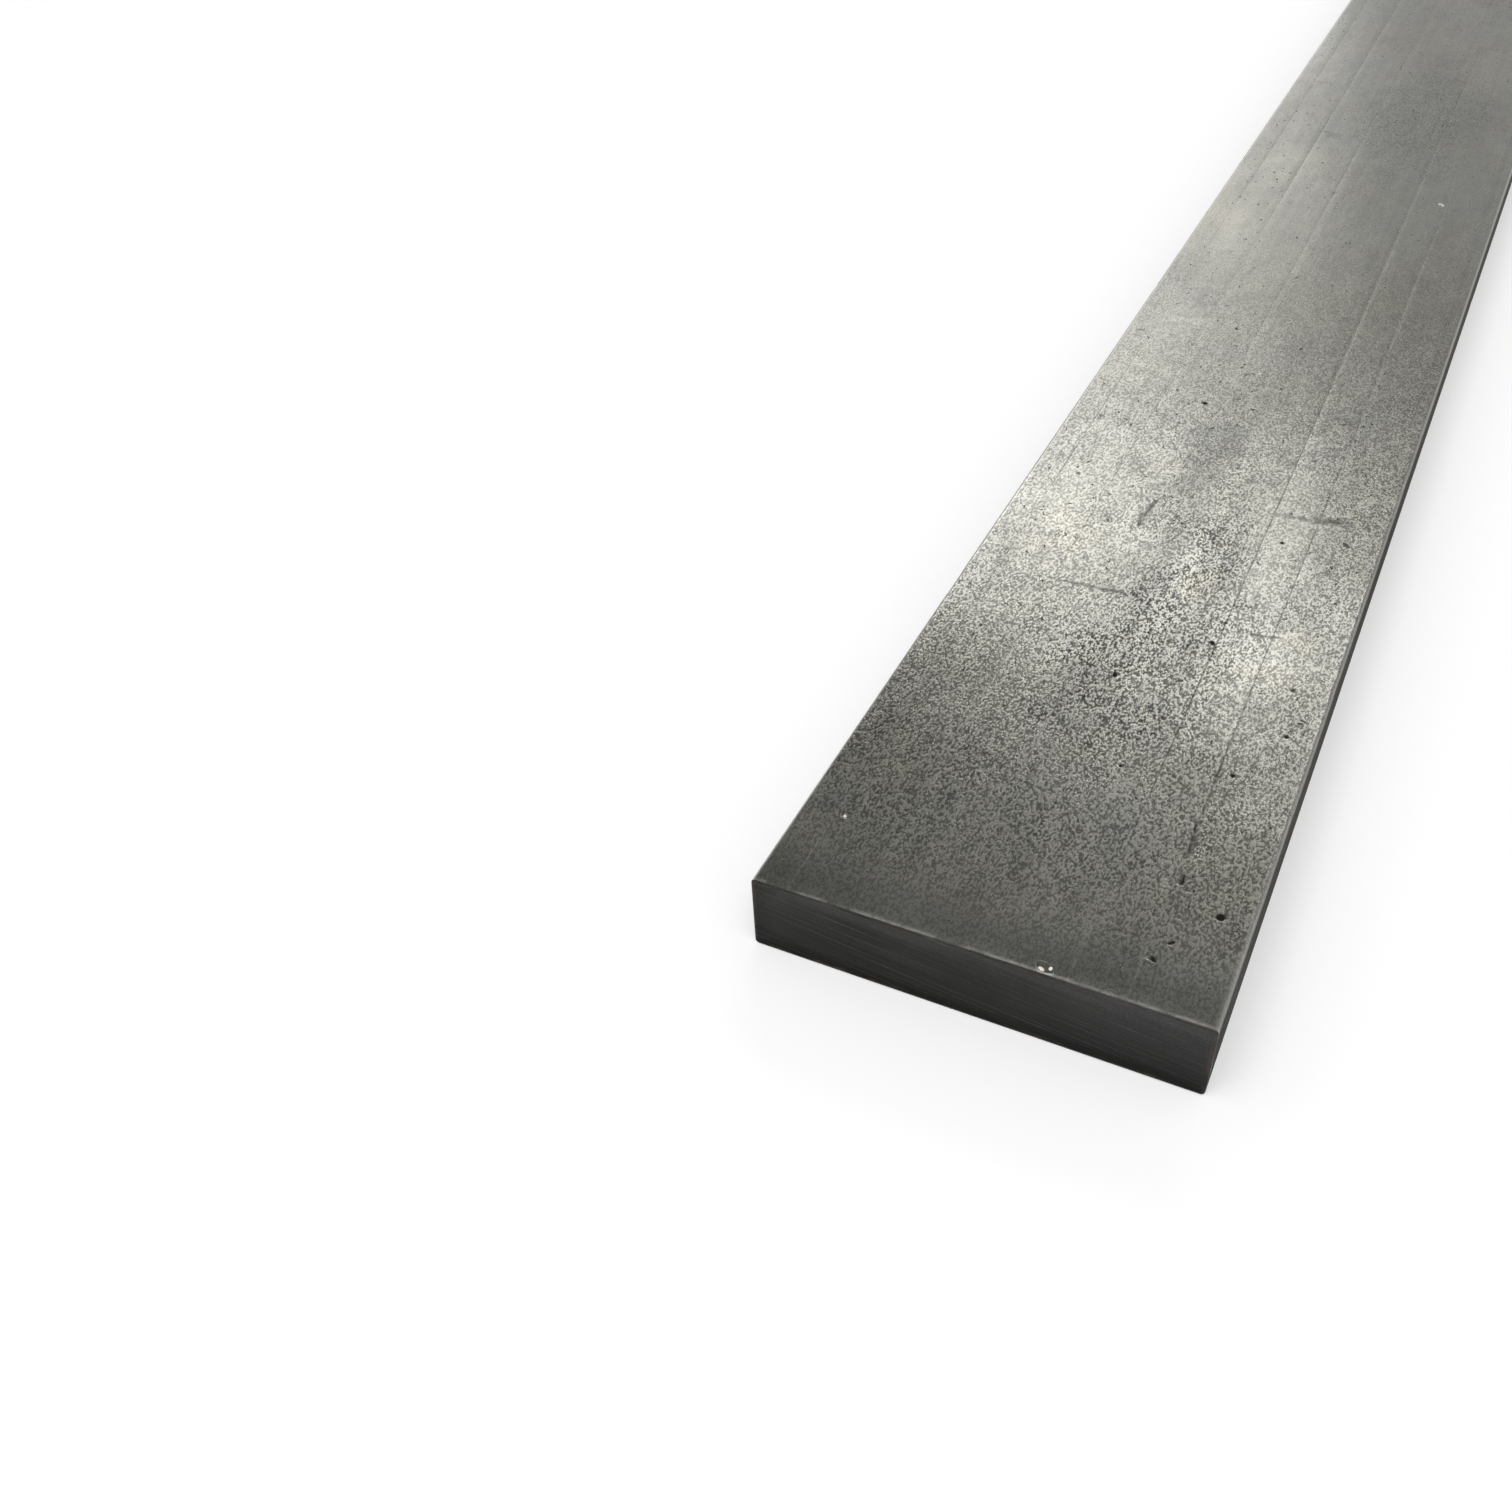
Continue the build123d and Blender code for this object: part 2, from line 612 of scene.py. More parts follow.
def grain_group():
    """The pebbled skin of the drawn face, the dark low ground in it, and tiny dark pits."""
    sheet, entry, result = new_group(
        "Pebbled Grain",
        (
            ("Place", "NodeSocketVector", None),
            ("Cell", "NodeSocketFloat", 0.45),
            ("Stretch", "NodeSocketFloat", 1.6),
            ("Pit Share", "NodeSocketFloat", 0.2),
        ),
        (("Height", "NodeSocketFloat"), ("Ground", "NodeSocketFloat"), ("Pits", "NodeSocketFloat")),
    )
    drawn_out = sheet.drawn_out(entry["Place"], entry["Stretch"])
    pebbles = sheet.noise(drawn_out, sheet.maths("DIVIDE", 1.0, entry["Cell"]), 2.0, 0.55)
    sheet.feed(result["Height"], sheet.spread(pebbles, 0.3, 0.7))
    sheet.feed(result["Ground"], sheet.spread(pebbles, 0.56, 0.42))
    jitter = sheet.node("ShaderNodeTexNoise")
    sheet.feed(jitter.inputs["Vector"], entry["Place"])
    jitter.inputs["Scale"].default_value = 1.6
    jitter = sheet.scaled(sheet.vector("SUBTRACT", jitter.outputs["Color"], (0.5, 0.5, 0.5)), 1.3)
    sown = sheet.node("ShaderNodeTexVoronoi", feature="F1")
    sheet.feed(sown.inputs["Vector"], sheet.vector("ADD", drawn_out, jitter))
    sheet.feed(sown.inputs["Scale"], 0.85)
    chosen, spare, size = sheet.parts(sown.outputs["Color"])
    reach = sheet.spread(size, 0.0, 1.0, 0.10, 0.26)
    near = sheet.spread(sown.outputs["Distance"], reach, sheet.maths("MULTIPLY", reach, 0.5), smooth=True)
    crowd = sheet.noise(entry["Place"], 0.09, 2.0, 0.5)
    crowd = sheet.spread(crowd, 0.38, 0.64, 0.2, 1.0)
    share = sheet.maths("MULTIPLY", entry["Pit Share"], crowd)
    kept = sheet.maths("LESS_THAN", chosen, share)
    sheet.feed(result["Pits"], sheet.maths("MULTIPLY", near, kept))
    return sheet.tree


def line_group():
    """Fine lines that run along one direction, for drawing, brushing and sawing."""
    sheet, entry, result = new_group(
        "Tool Lines",
        (
            ("Place", "NodeSocketVector", None),
            ("Turn", "NodeSocketVector", None),
            ("Pitch", "NodeSocketFloat", 0.3),
            ("Run", "NodeSocketFloat", 60.0),
        ),
        (("Height", "NodeSocketFloat"), ("Streaks", "NodeSocketFloat")),
    )
    turned = sheet.node("ShaderNodeVectorRotate", rotation_type="EULER_XYZ")
    sheet.feed(turned.inputs["Vector"], entry["Place"])
    sheet.feed(turned.inputs["Rotation"], entry["Turn"])
    x, y, z = sheet.parts(turned.outputs["Vector"])
    drawn_out = sheet.joined(
        sheet.maths("DIVIDE", x, entry["Run"]),
        sheet.maths("DIVIDE", y, entry["Pitch"]),
        sheet.maths("DIVIDE", z, entry["Pitch"]),
    )
    fine = sheet.noise(drawn_out, 1.0, 2.0, 0.6)
    broad = sheet.noise(drawn_out, 0.16, 2.0, 0.5)
    sheet.feed(result["Height"], fine)
    sheet.feed(result["Streaks"], sheet.spread(broad, 0.3, 0.7))
    return sheet.tree


def cloud_group():
    """Cloudy tone in two sizes, drawn out along the bar."""
    sheet, entry, result = new_group(
        "Clouded Tone",
        (
            ("Place", "NodeSocketVector", None),
            ("Size", "NodeSocketFloat", 14.0),
            ("Stretch", "NodeSocketFloat", 2.0),
        ),
        (("Broad", "NodeSocketFloat"), ("Small", "NodeSocketFloat")),
    )
    drawn_out = sheet.drawn_out(entry["Place"], entry["Stretch"])
    scale = sheet.maths("DIVIDE", 1.0, entry["Size"])
    broad = sheet.noise(drawn_out, scale, 3.0, 0.55, 0.5)
    small = sheet.noise(drawn_out, sheet.maths("MULTIPLY", scale, 5.5), 3.0, 0.6, 0.3)
    sheet.feed(result["Broad"], sheet.spread(broad, 0.32, 0.68))
    sheet.feed(result["Small"], sheet.spread(small, 0.3, 0.7))
    return sheet.tree


def corner_group():
    """How near a point is to one of the bar's corners, from 0 to 1, broken up by noise."""
    sheet, entry, result = new_group(
        "Corner Wear And Highlight",
        (
            ("Place", "NodeSocketVector", None),
            ("Half Size", "NodeSocketVector", None),
            ("Reach", "NodeSocketFloat", 0.7),
        ),
        (("Long Corners", "NodeSocketFloat"), ("Rims", "NodeSocketFloat")),
    )
    raised = sheet.vector("MULTIPLY", entry["Half Size"], (0.0, 0.0, 1.0))
    centred = sheet.vector("SUBTRACT", entry["Place"], raised)
    inside = sheet.vector("SUBTRACT", entry["Half Size"], sheet.vector("ABSOLUTE", centred))
    from_end, from_side, from_wide = sheet.parts(inside)
    wobble = sheet.maths("MULTIPLY", sheet.noise(entry["Place"], 0.9, 3.0, 0.6), entry["Reach"])
    across = sheet.maths("MAXIMUM", from_side, from_wide)
    across = sheet.maths("SUBTRACT", across, wobble)
    sheet.feed(result["Long Corners"], sheet.spread(across, entry["Reach"], 0.0, smooth=True))
    side = sheet.maths("MINIMUM", from_side, from_wide)
    rim = sheet.maths("SUBTRACT", sheet.maths("MAXIMUM", from_end, side), wobble)
    sheet.feed(result["Rims"], sheet.spread(rim, entry["Reach"], 0.0, smooth=True))
    return sheet.tree


def shader_groups():
    """The node groups, each built once."""
    return {
        "mark": mark_group(),
        "grain": grain_group(),
        "lines": line_group(),
        "clouds": cloud_group(),
        "corners": corner_group(),
    }


def new_material(name):
    """A material with one Principled BSDF, its sheet, and the place on the bar in millimetres."""
    material = bpy.data.materials.new(name)
    material.use_nodes = True
    sheet = Sheet(material.node_tree)
    shader = material.node_tree.nodes["Principled BSDF"]
    coordinates = sheet.node("ShaderNodeTexCoord").outputs["Object"]
    place = sheet.scaled(coordinates, 1.0 / MM)
    return material, sheet, shader, place


def feed_relief(sheet, shader, relief):
    """Turns a height in millimetres into the shader's normal through one Bump node."""
    bump = sheet.node("ShaderNodeBump")
    bump.inputs["Strength"].default_value = 1.0
    bump.inputs["Distance"].default_value = MM
    sheet.feed(bump.inputs["Height"], relief)
    sheet.feed(shader.inputs["Normal"], bump.outputs["Normal"])


def marks_together(sheet, groups, place, marks, height, ragged, grain_scale):
    """The masks of a list of marks on the top face, the strongest one at each point."""
    fray = sheet.maths("SUBTRACT", sheet.noise(place, grain_scale, 3.0, 0.6), 0.5)
    fray = sheet.maths("MULTIPLY", fray, 4.0 * ragged)
    mask = 0.0
    for x, y, half_length, half_width, turn, strength in marks:
        made = sheet.placed(
            groups["mark"],
            place=place,
            centre=(x, y, height),
            turn=math.radians(turn),
            half_size=(half_length, half_width, MARK_RISE),
            fray=fray,
            strength=strength,
        )
        mask = sheet.maths("MAXIMUM", mask, made["Mask"])
    return mask


def drawn_steel(bar, groups):
    """The drawn skin: grey, a little olive, clouded, pebbled and lined along the bar."""
    material, sheet, shader, place = new_material("drawn_steel_skin")
    top = bar.thickness / MM
    half_size = half_size_of(bar)
    from_middle, from_axis = (sheet.maths("ABSOLUTE", part) for part in sheet.parts(place)[:2])
    clouds = sheet.placed(groups["clouds"], place=place, size=15.0, stretch=2.2)
    along = sheet.placed(groups["lines"], place=place, turn=(0.0, 0.0, 0.0), pitch=0.22, run=70.0)
    across_turn = (0.0, 0.0, math.radians(86.0))
    across = sheet.placed(groups["lines"], place=place, turn=across_turn, pitch=0.28, run=9.0)
    corners = sheet.placed(groups["corners"], place=place, half_size=half_size, reach=0.5)
    dark_marks = marks_together(sheet, groups, place, DARK_MARKS, top, 0.5, 0.9)
    dark_clouds = marks_together(sheet, groups, place, DARK_CLOUDS, top, 0.4, 0.22)
    clean_patches = marks_together(sheet, groups, place, CLEAN_PATCHES, top, 0.5, 0.2)
    warm_clouds = marks_together(sheet, groups, place, WARM_CLOUDS, top, 0.4, 0.2)
    pebbled = marks_together(sheet, groups, place, PEBBLED_PATCHES, top, 0.25, 0.12)
    hollow = sheet.node("ShaderNodeAttribute", attribute_name="hollow").outputs["Fac"]
    on_side = sheet.spread(from_axis, half_size[1] - 0.22, half_size[1] - 0.05)

    # How strongly the grain shows
    near_ends = sheet.spread(from_middle, *GRAIN_GROWS)
    speckle = sheet.maths("MAXIMUM", pebbled, sheet.spread(near_ends, 0.0, 1.0, 0.18, 0.72))
    patchy = sheet.spread(sheet.noise(place, 0.11, 2.0, 0.55, 0.4), 0.3, 0.7, 0.85, 1.1)
    speckle = sheet.maths("MULTIPLY", speckle, patchy, clamp=True)
    worn_end = sheet.spread(from_middle, *END_IS_RUBBED, 1.0, 0.5)
    speckle = sheet.maths("MULTIPLY", speckle, worn_end)
    speckle = sheet.maths("MULTIPLY", speckle, sheet.spread(clean_patches, 0.0, 1.0, 1.0, 0.78))
    grain = sheet.placed(groups["grain"], place=place, cell=0.26, stretch=1.7, pit_share=0.75)

    # How dark the steel is: dull clouds, streaks and rubbed marks, and a painted shade towards the ends
    darkening = sheet.spread(clouds["Broad"], 0.0, 1.0, 0.0, 0.26)
    darkening = sheet.maths("ADD", darkening, sheet.spread(clouds["Small"], 0.2, 1.0, 0.0, 0.18))
    darkening = sheet.maths("ADD", darkening, sheet.spread(along["Streaks"], 0.3, 1.0, 0.0, 0.12))
    darkening = sheet.maths("MULTIPLY", darkening, sheet.maths("SUBTRACT", 1.0, clean_patches))
    darkening = sheet.maths("MAXIMUM", darkening, dark_clouds)
    # Painted shade: the top turns smoothly darker over the last 14 mm before each end
    end_shade = sheet.spread(from_middle, *END_PAINTED_SHADE, 0.0, 0.72, smooth=True)
    darkening = sheet.maths("MAXIMUM", darkening, end_shade)
    darkening = sheet.plus(darkening, dark_marks, 0.8, clamp=True)

    # Tone, from clean steel to the grain, the dirt, the painted shade of the narrow faces, and the bare
    # corners and rims with a painted highlight
    tint = sheet.spread(sheet.noise(place, 0.03, 2.0, 0.5, 0.3), 0.42, 0.66)
    tint = sheet.maths("MAXIMUM", sheet.maths("MULTIPLY", tint, 0.35), warm_clouds)
    tone = sheet.blend(tint, colour(bar.steel_tone), colour(bar.warm_tone))
    tone = sheet.blend(darkening, tone, colour(bar.dull_and_shade_tone))
    ground = sheet.maths("MULTIPLY", grain["Ground"], speckle)
    tone = sheet.blend(ground, tone, colour(bar.ground_tone))
    soot = sheet.maths("MAXIMUM", sheet.maths("MULTIPLY", grain["Pits"], 0.8), hollow)
    tone = sheet.blend(soot, tone, colour(SOOT_TONE))
    # Painted shade: the narrow faces are coloured darker than the drawn steel
    tone = sheet.blend(sheet.maths("MULTIPLY", on_side, 0.8), tone, colour(bar.shaded_side_tone))
    # Bare worn corners and rims, lightened further by a painted highlight along them
    corner_wear_and_highlight = sheet.maths("MULTIPLY", corners["Long Corners"], 0.5)
    tone = sheet.blend(corner_wear_and_highlight, tone, colour(BARE_CORNER_HIGHLIGHT_TONE))
    broken_up = sheet.spread(clouds["Small"], 0.25, 0.7, 0.06, 0.6)
    rim_wear_and_highlight = sheet.maths("MULTIPLY", corners["Rims"], broken_up)
    tone = sheet.blend(rim_wear_and_highlight, tone, colour(BARE_RIM_HIGHLIGHT_TONE))
    sheet.feed(shader.inputs["Base Color"], tone)

    # Gloss
    roughness = sheet.spread(clouds["Broad"], 0.0, 1.0, 0.20, 0.27)
    roughness = sheet.maths("ADD", roughness, sheet.spread(from_middle, *END_TURNS_MATT, 0.0, 0.10))
    roughness = sheet.plus(roughness, dark_marks, 0.16)
    roughness = sheet.plus(roughness, corners["Long Corners"], -0.06)
    roughness = sheet.plus(roughness, on_side, 0.35)
    roughness = sheet.plus(roughness, soot, 0.5, clamp=True)
    sheet.feed(shader.inputs["Roughness"], roughness)
    metal = sheet.maths("SUBTRACT", sheet.spread(on_side, 0.0, 1.0, 1.0, 0.0), soot, clamp=True)
    sheet.feed(shader.inputs["Metallic"], metal)
    shader.inputs["Specular IOR Level"].default_value = 0.0

    # Relief
    grain_relief = sheet.spread(near_ends, 0.0, 1.0, FAR_GRAIN_RELIEF, GRAIN_RELIEF)
    grain_relief = sheet.maths("MULTIPLY", grain_relief, worn_end)
    relief = sheet.maths("MULTIPLY", grain["Height"], grain_relief)
    relief = sheet.plus(relief, along["Height"], DRAWN_LINE_RELIEF)
    relief = sheet.plus(relief, across["Height"], CROSS_LINE_RELIEF)
    relief = sheet.plus(relief, clouds["Small"], CLOUD_RELIEF)
    relief = sheet.plus(relief, grain["Pits"], -PIT_RELIEF)
    feed_relief(sheet, shader, relief)
    return material


def sawn_steel(bar, groups):
    """The sawn ends: darker, matt, with fine saw marks and thin rust under the rim."""
    material, sheet, shader, place = new_material("sawn_steel_end")
    top = bar.thickness / MM
    saw_turn = (-bar.saw_tilt, 0.0, math.radians(90.0))
    marks = sheet.placed(groups["lines"], place=place, turn=saw_turn, pitch=0.16, run=22.0)
    clouds = sheet.placed(groups["clouds"], place=place, size=9.0, stretch=1.0)
    grain = sheet.placed(groups["grain"], place=place, cell=0.25, stretch=1.0, pit_share=0.2)
    corners = sheet.placed(groups["corners"], place=place, half_size=half_size_of(bar), reach=0.42)

    # Tone, from clean steel to the painted shade towards the foot, streaks and rust
    darkening = sheet.spread(clouds["Broad"], 0.0, 1.0, 0.0, 0.55)
    streaks = sheet.spread(marks["Streaks"], 0.3, 1.0, 0.0, 0.35)
    darkening = sheet.maths("ADD", darkening, streaks, clamp=True)
    darker = tuple(0.45 * part for part in bar.sawn_tone)
    tone = sheet.blend(darkening, colour(bar.sawn_tone), colour(darker))
    across, height = sheet.parts(place)[1:]
    cool = sheet.spread(across, -2.0, -15.0, 0.0, 0.7, smooth=True)
    tone = sheet.blend(cool, tone, colour(COOL_SAWN_TONE))
    # Painted shade: darker towards the foot of the sawn face
    foot_shade = sheet.spread(height, 0.98 * top, 0.2 * top, 0.0, 0.95)
    tone = sheet.blend(foot_shade, tone, colour(FOOT_SHADE_TONE))
    streak = sheet.spread(marks["Height"], 0.54, 0.75, 0.0, 0.42)
    tone = sheet.blend(streak, tone, colour(SAW_STREAK_TONE))
    tone = sheet.blend(sheet.maths("MULTIPLY", grain["Ground"], 0.35), tone, colour(darker))
    rust_patches = sheet.spread(sheet.noise(place, 0.22, 3.0, 0.6), 0.48, 0.66)
    rust = sheet.maths("MULTIPLY", corners["Rims"], rust_patches)
    tone = sheet.blend(sheet.maths("MULTIPLY", rust, 0.75), tone, colour(bar.rust_tone))
    tone = sheet.blend(sheet.maths("MULTIPLY", grain["Pits"], 0.7), tone, colour(SAWN_PIT_TONE))
    sheet.feed(shader.inputs["Base Color"], tone)

    # Gloss
    sheet.feed(shader.inputs["Metallic"], sheet.spread(rust, 0.0, 1.0, 0.95, 0.2))
    roughness = sheet.spread(darkening, 0.0, 1.0, 0.42, 0.56)
    roughness = sheet.plus(roughness, rust, 0.2)
    sheet.feed(shader.inputs["Roughness"], roughness)

    # Relief
    relief = sheet.maths("MULTIPLY", marks["Height"], SAW_LINE_RELIEF)
    relief = sheet.plus(relief, grain["Height"], SAWN_GRAIN_RELIEF)
    relief = sheet.plus(relief, grain["Pits"], -SAWN_PIT_RELIEF)
    feed_relief(sheet, shader, relief)
    return material


def runs_along(edge, axis, longer_than):
    """True for an edge that lies along the axis and is longer than the given length."""
    run = edge.verts[1].co - edge.verts[0].co
    return run.length > longer_than and abs(run.normalized()[axis]) > 0.999


def stock_block(bar):
    """The bar's block with its four long corners rounded."""
    bm = bmesh.new()
    bmesh.ops.create_cube(bm, size=1.0)
    bmesh.ops.scale(bm, vec=(bar.length, bar.width, bar.thickness), verts=bm.verts)
    bmesh.ops.translate(bm, vec=(0.0, 0.0, bar.thickness / 2), verts=bm.verts)
    bmesh.ops.bevel(
        bm,
        geom=[edge for edge in bm.edges if runs_along(edge, 0, bar.thickness)],
        offset=bar.corner_radius,
        segments=6,
        profile=0.5,
        affect="EDGES",
        material=-1,
    )
    return bm


def end_face(bm, side):
    """The largest face that looks out of one end."""
    facing = [face for face in bm.faces if face.normal.x * side > 0.99]
    return max(facing, key=lambda face: face.calc_area())


def cut_rim(bm, bar, side):
    """Breaks the rim of one end and leaves a thin lip standing round the sawn face."""
    bmesh.ops.bevel(
        bm,
        geom=end_face(bm, side).edges[:],
        offset=bar.rim_break,
        segments=2,
        profile=0.5,
        affect="EDGES",
        material=-1,
    )
    bmesh.ops.inset_individual(bm, faces=[end_face(bm, side)], thickness=bar.lip_width)
    step = 0.08 * MM
    bmesh.ops.inset_individual(bm, faces=[end_face(bm, side)], thickness=step, depth=-bar.lip_height)


def divide_long_faces(bm, bar):
    """Divides the long faces into cells."""
    along = [edge for edge in bm.edges if runs_along(edge, 0, bar.thickness)]
    bmesh.ops.subdivide_edges(bm, edges=along, cuts=round(bar.length / bar.cell) - 1, use_grid_fill=True)
    across = [edge for edge in bm.edges if runs_along(edge, 1, bar.thickness)]
    bmesh.ops.subdivide_edges(bm, edges=across, cuts=round(bar.width / bar.cell) - 1, use_grid_fill=True)
    upright = [edge for edge in bm.edges if runs_along(edge, 2, bar.thickness / 2)]
    bmesh.ops.subdivide_edges(bm, edges=upright, cuts=5, use_grid_fill=True)


def cut_plane(bm, faces, point, normal):
    """Cuts the given faces with a plane, leaves both halves, and returns all their faces."""
    edges = {edge for face in faces for edge in face.edges}
    verts = {vert for face in faces for vert in face.verts}
    cut = bmesh.ops.bisect_plane(
        bm,
        geom=[*verts, *edges, *faces],
        dist=0.002 * MM,
        plane_co=point,
        plane_no=normal,
    )
    return [part for part in cut["geom"] if isinstance(part, bmesh.types.BMFace)]


def slice_faces(bm, faces, stations, base, normal):
    """Slices the faces at each station along the normal, the middle one first, and returns them all."""
    if not stations or not faces:
        return faces
    middle = len(stations) // 2
    station = stations[middle]
    parts = cut_plane(bm, faces, base + station * normal, normal)
    low = [part for part in parts if (part.calc_center_median() - base).dot(normal) < station]
    high = [part for part in parts if (part.calc_center_median() - base).dot(normal) >= station]
    low = slice_faces(bm, low, stations[:middle], base, normal)
    high = slice_faces(bm, high, stations[middle + 1:], base, normal)
    return low + high


def cut_draw_lines(bm, bar):
    """Puts the cuts for each draw line and for the shoulders of the round corners."""
    shoulder = bar.width / 2 - bar.corner_radius - SHOULDER_GAP * MM
    places = {shoulder, -shoulder}
    for face_side, y, line_width, depth in DRAW_LINES:
        places.update((y * MM, (y - line_width) * MM, (y + line_width) * MM))
    for y in sorted(places):
        wide = [face for face in bm.faces if abs(face.normal.z) > 0.99]
        cut_plane(bm, wide, (0.0, y, 0.0), (0.0, 1.0, 0.0))
    for from_rim in RIM_STATIONS:
        for side in (-1, 1):
            long = [face for face in bm.faces if abs(face.normal.x) < 0.01]
            station = side * (bar.length / 2 - bar.rim_break - from_rim * MM)
            cut_plane(bm, long, (station, 0.0, 0.0), (1.0, 0.0, 0.0))
    low = bar.corner_radius + SHOULDER_GAP * MM
    for z in (low, bar.thickness - low):
        narrow = [face for face in bm.faces if abs(face.normal.y) > 0.99]
        cut_plane(bm, narrow, (0.0, 0.0, z), (0.0, 0.0, 1.0))


def divide_under_knocks(bm, bar):
    """Divides the cells that lie under each knock and scratch, so that it has a true shape."""
    margin = 0.6 * bar.cell
    chosen = set()
    for face in bm.faces:
        if abs(face.normal.z) < 0.99:
            continue
        side = "top" if face.normal.z > 0 else "bottom"
        centre = face.calc_center_median()
        for knock_side, x, y, half_length, half_width, turn, depth, dirt in KNOCKS:
            if knock_side != side:
                continue
            away = Vector((centre.x - x * MM, centre.y - y * MM))
            away.rotate(Matrix.Rotation(-math.radians(turn), 2))
            if abs(away.x) < half_length * MM + margin and abs(away.y) < half_width * MM + margin:
                chosen.add(face)
                break
    edges = {edge for face in chosen for edge in face.edges if edge.calc_length() > 0.4 * bar.cell}
    bmesh.ops.subdivide_edges(bm, edges=list(edges), cuts=bar.knock_cuts, use_grid_fill=True)


def divide_ends(bm, bar, side):
    """Divides one sawn face into columns and into rows that follow the saw marks."""
    face = end_face(bm, side)
    base = Vector((face.calc_center_median().x, 0.0, 0.0))
    columns = round(bar.width / bar.cell)
    stations = [bar.width * (column / columns - 0.5) for column in range(1, columns)]
    strips = slice_faces(bm, [face], stations, base, Vector((0.0, 1.0, 0.0)))
    tilt = bar.saw_tilt
    lean = bar.width / 2 * math.sin(tilt)
    rows = round((bar.thickness + 2 * lean) / bar.saw_row)
    stations = [row * bar.saw_row - lean for row in range(rows)]
    return slice_faces(bm, strips, stations, base, Vector((0.0, -math.sin(tilt), math.cos(tilt))))


def knock_depth(side, place):
    """How deep the knocks are at a place on one wide face, in millimetres, and how dirty."""
    depth_here = 0.0
    dirt_here = 0.0
    for knock_side, x, y, half_length, half_width, turn, depth, dirt in KNOCKS:
        if knock_side != side:
            continue
        away_x = place.x / MM - x
        away_y = place.y / MM - y
        if abs(away_x) > half_length + 1.0 + half_width and abs(away_y) > half_length + 1.0:
            continue
        turn = math.radians(turn)
        along = (away_x * math.cos(turn) + away_y * math.sin(turn)) / half_length
        across = (away_y * math.cos(turn) - away_x * math.sin(turn)) / half_width
        reach = along * along + across * across
        if half_length > 3.0 * half_width:
            ends = max(0.0, 1.0 - along ** 4)
            groove = max(0.0, 1.0 - across * across)
            pressed = ends * groove * (0.6 + 0.4 * noise.noise(Vector((place.x / MM, 3.1, 0.7))))
            filled = 1.8 * pressed
        else:
            pressed = max(0.0, 1.0 - reach) ** 0.8
            filled = max(0.0, 1.2 - reach) / 0.35
        depth_here += depth * pressed
        dirt_here = max(dirt_here, dirt * min(1.0, filled))
    return depth_here, dirt_here


def draw_line_depth(side, place):
    """How deep the draw lines are at a place on one wide face, in millimetres."""
    depth_here = 0.0
    for line_side, y, line_width, depth in DRAW_LINES:
        if line_side == side and abs(place.y / MM - y) < 0.4 * line_width:
            fade = 0.72 + 0.6 * noise.noise(Vector((place.x / MM * 0.02, y, 5.0)))
            depth_here += depth * min(1.0, max(0.0, fade))
    return depth_here


def shape_long_faces(bm, bar):
    """Presses the draw lines, the knocks and a faint waviness into the wide faces."""
    hollow = bm.verts.layers.float.new("hollow")
    rim = bar.length / 2 - 0.4 * MM
    for vert in bm.verts:
        place = vert.co
        if abs(place.x) > rim:
            continue
        upper = place.z > bar.thickness - 0.01 * MM
        lower = place.z < 0.01 * MM
        if upper or lower:
            side = "top" if upper else "bottom"
            depth, dirt = knock_depth(side, place)
            line_depth = draw_line_depth(side, place)
            depth += line_depth
            vert[hollow] = max(dirt, min(1.0, line_depth / DIRTY_LINE_DEPTH))
            wave = noise.noise(Vector((place.x / MM * 0.03, place.y / MM * 0.05, 2.0 if upper else 9.0)))
            edge_fade = min(1.0, (bar.width / 2 - bar.corner_radius - abs(place.y)) / (2.0 * MM))
            depth += WAVE_DEPTH * (1.0 + wave) * max(0.0, edge_fade)
            vert.co.z += depth * MM * (-1.0 if upper else 1.0)


def nick_corners(bm, bar):
    """Nicks in the long corners: the metal is pushed in towards the middle of the section."""
    for vert in bm.verts:
        place = vert.co
        side_y = 1 if place.y > 0 else -1
        side_z = 1 if place.z > bar.thickness / 2 else -1
        from_side = bar.width / 2 - abs(place.y)
        from_wide = bar.thickness / 2 - abs(place.z - bar.thickness / 2)
        if from_side > NICK_REACH * MM or from_wide > NICK_REACH * MM:
            continue
        ripple = noise.noise(Vector((place.x / MM * 0.6, side_y * 4.0, side_z * 7.0)))
        push = RIPPLE_DEPTH * (1.0 + ripple)
        for x, nick_y, nick_z, half_length, depth in CORNER_NICKS:
            if nick_y == side_y and nick_z == side_z:
                along = (place.x / MM - x) / half_length
                if abs(along) < 1.0:
                    push += depth * (1.0 - along * along)
        near = max(0.0, 1.0 - max(from_side, from_wide) / (NICK_REACH * MM))
        inward = Vector((0.0, -side_y, -side_z)).normalized()
        vert.co += inward * push * near * MM


def shape_sawn_face(faces, bar, side):
    """Moves the rows of one sawn face in and out, as the saw's teeth leave them."""
    verts = {vert for face in faces for vert in face.verts}
    border = {vert for vert in verts if any(face not in faces for face in vert.link_faces)}
    tilt = bar.saw_tilt
    for vert in verts - border:
        row = (vert.co.z * math.cos(tilt) - vert.co.y * math.sin(tilt)) / MM
        drift = vert.co.y / MM * 0.03
        coarse = noise.noise(Vector((row * 0.9, drift, side * 3.0)))
        fine = noise.noise(Vector((row * 3.1, drift * 1.7, side * 5.0 + 20.0)))
        vert.co.x += side * bar.saw_relief * (0.55 * coarse + 0.45 * fine)


def finish_mesh(bm, name, materials):
    """The bmesh as a shaded object at the origin."""
    mesh = bpy.data.meshes.new(name)
    for material in materials:
        mesh.materials.append(material)
    bmesh.ops.recalc_face_normals(bm, faces=bm.faces)
    bm.to_mesh(mesh)
    bm.free()
    mesh.shade_smooth()
    made = bpy.data.objects.new(name, mesh)
    bpy.context.scene.collection.objects.link(made)
    return made


